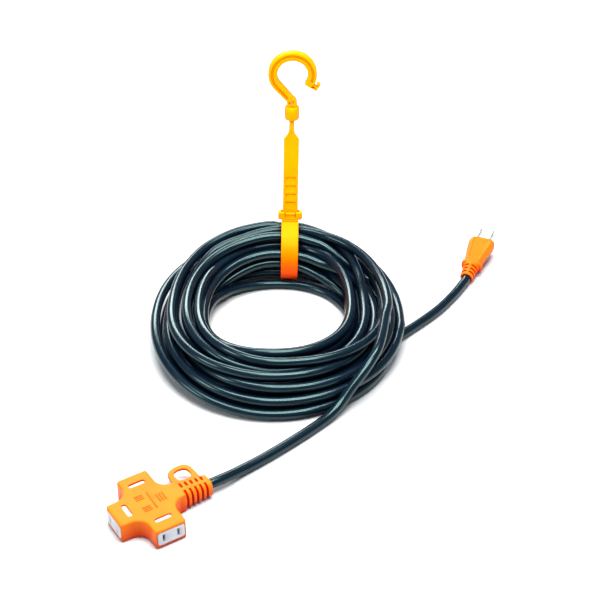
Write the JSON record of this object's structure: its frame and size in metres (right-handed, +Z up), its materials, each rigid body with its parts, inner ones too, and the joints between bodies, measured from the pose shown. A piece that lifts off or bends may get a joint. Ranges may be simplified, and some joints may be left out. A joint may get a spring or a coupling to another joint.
{
  "type": "extension cord",
  "caption": "Coiled extension cord with a cross-shaped multi-outlet connector, a two-blade plug and a strap hanger with a swivel hook.",
  "frame": {"origin": "on the floor, under the middle of the box that holds the connector and the hanger", "axes": "+Z up, +Y from the connector towards the hanger, +X to the right, towards the plug"},
  "size_m": [0.3536, 0.4397, 0.243],
  "materials": {
    "cord_jacket": "smooth, slightly glossy blue-black sheath",
    "orange_pvc": "satin soft PVC overmould",
    "white_moulding": "smooth hard white moulding",
    "contact_brass": "stamped phosphor bronze or brass strip",
    "tinned_ferrule": "tinned crimp",
    "nickel_blade": "nickel-plated brass blade",
    "black_insulation": "PVC wire insulation",
    "white_insulation": "PVC wire insulation",
    "yellow_nylon": "moulded nylon, slightly translucent"
  },
  "bodies": {
    "cord_set": {"cord_tail_connector": "cord_jacket", "cord_coil": "cord_jacket", "cord_tail_plug": "cord_jacket", "connector_shell": "orange_pvc", "connector_core": "white_moulding", "outlet_insert_end": "white_moulding", "outlet_insert_left": "white_moulding", "outlet_insert_right": "white_moulding", "busbar_live": "contact_brass", "busbar_neutral": "contact_brass", "contact_clips_live": "contact_brass", "contact_clips_neutral": "contact_brass", "connector_crimps": "tinned_ferrule", "connector_wire_live": "black_insulation", "connector_wire_neutral": "white_insulation", "plug_body": "orange_pvc", "plug_bridge": "white_moulding", "blade_live": "nickel_blade", "blade_neutral": "nickel_blade", "plug_crimps": "tinned_ferrule", "plug_wire_live": "black_insulation", "plug_wire_neutral": "white_insulation"},
    "strap": {"hanger_strap": "yellow_nylon"},
    "pawl": {"buckle_pawl": "yellow_nylon"},
    "hook": {"swivel_hook": "yellow_nylon"}
  },
  "joints": [
    {"name": "hanger_tilt", "type": "hinge", "parent": "cord_set", "child": "strap", "pos_m": [0.0579, 0.1765, 0.03], "axis": [0.9998, 0, -0.0192], "range_deg": [-80, 68]},
    {"name": "hook_swivel", "type": "hinge", "parent": "strap", "child": "hook", "pos_m": [0.06069, 0.1765, 0.17537], "axis": [0.0192, 0, 0.9998], "continuous": true},
    {"name": "pawl_release", "type": "hinge", "parent": "strap", "child": "pawl", "pos_m": [0.05863, 0.1736, 0.06799], "axis": [0.9998, 0, -0.0192], "range_deg": [0, 18], "stiffness_Nm_per_rad": 0.02}
  ]
}
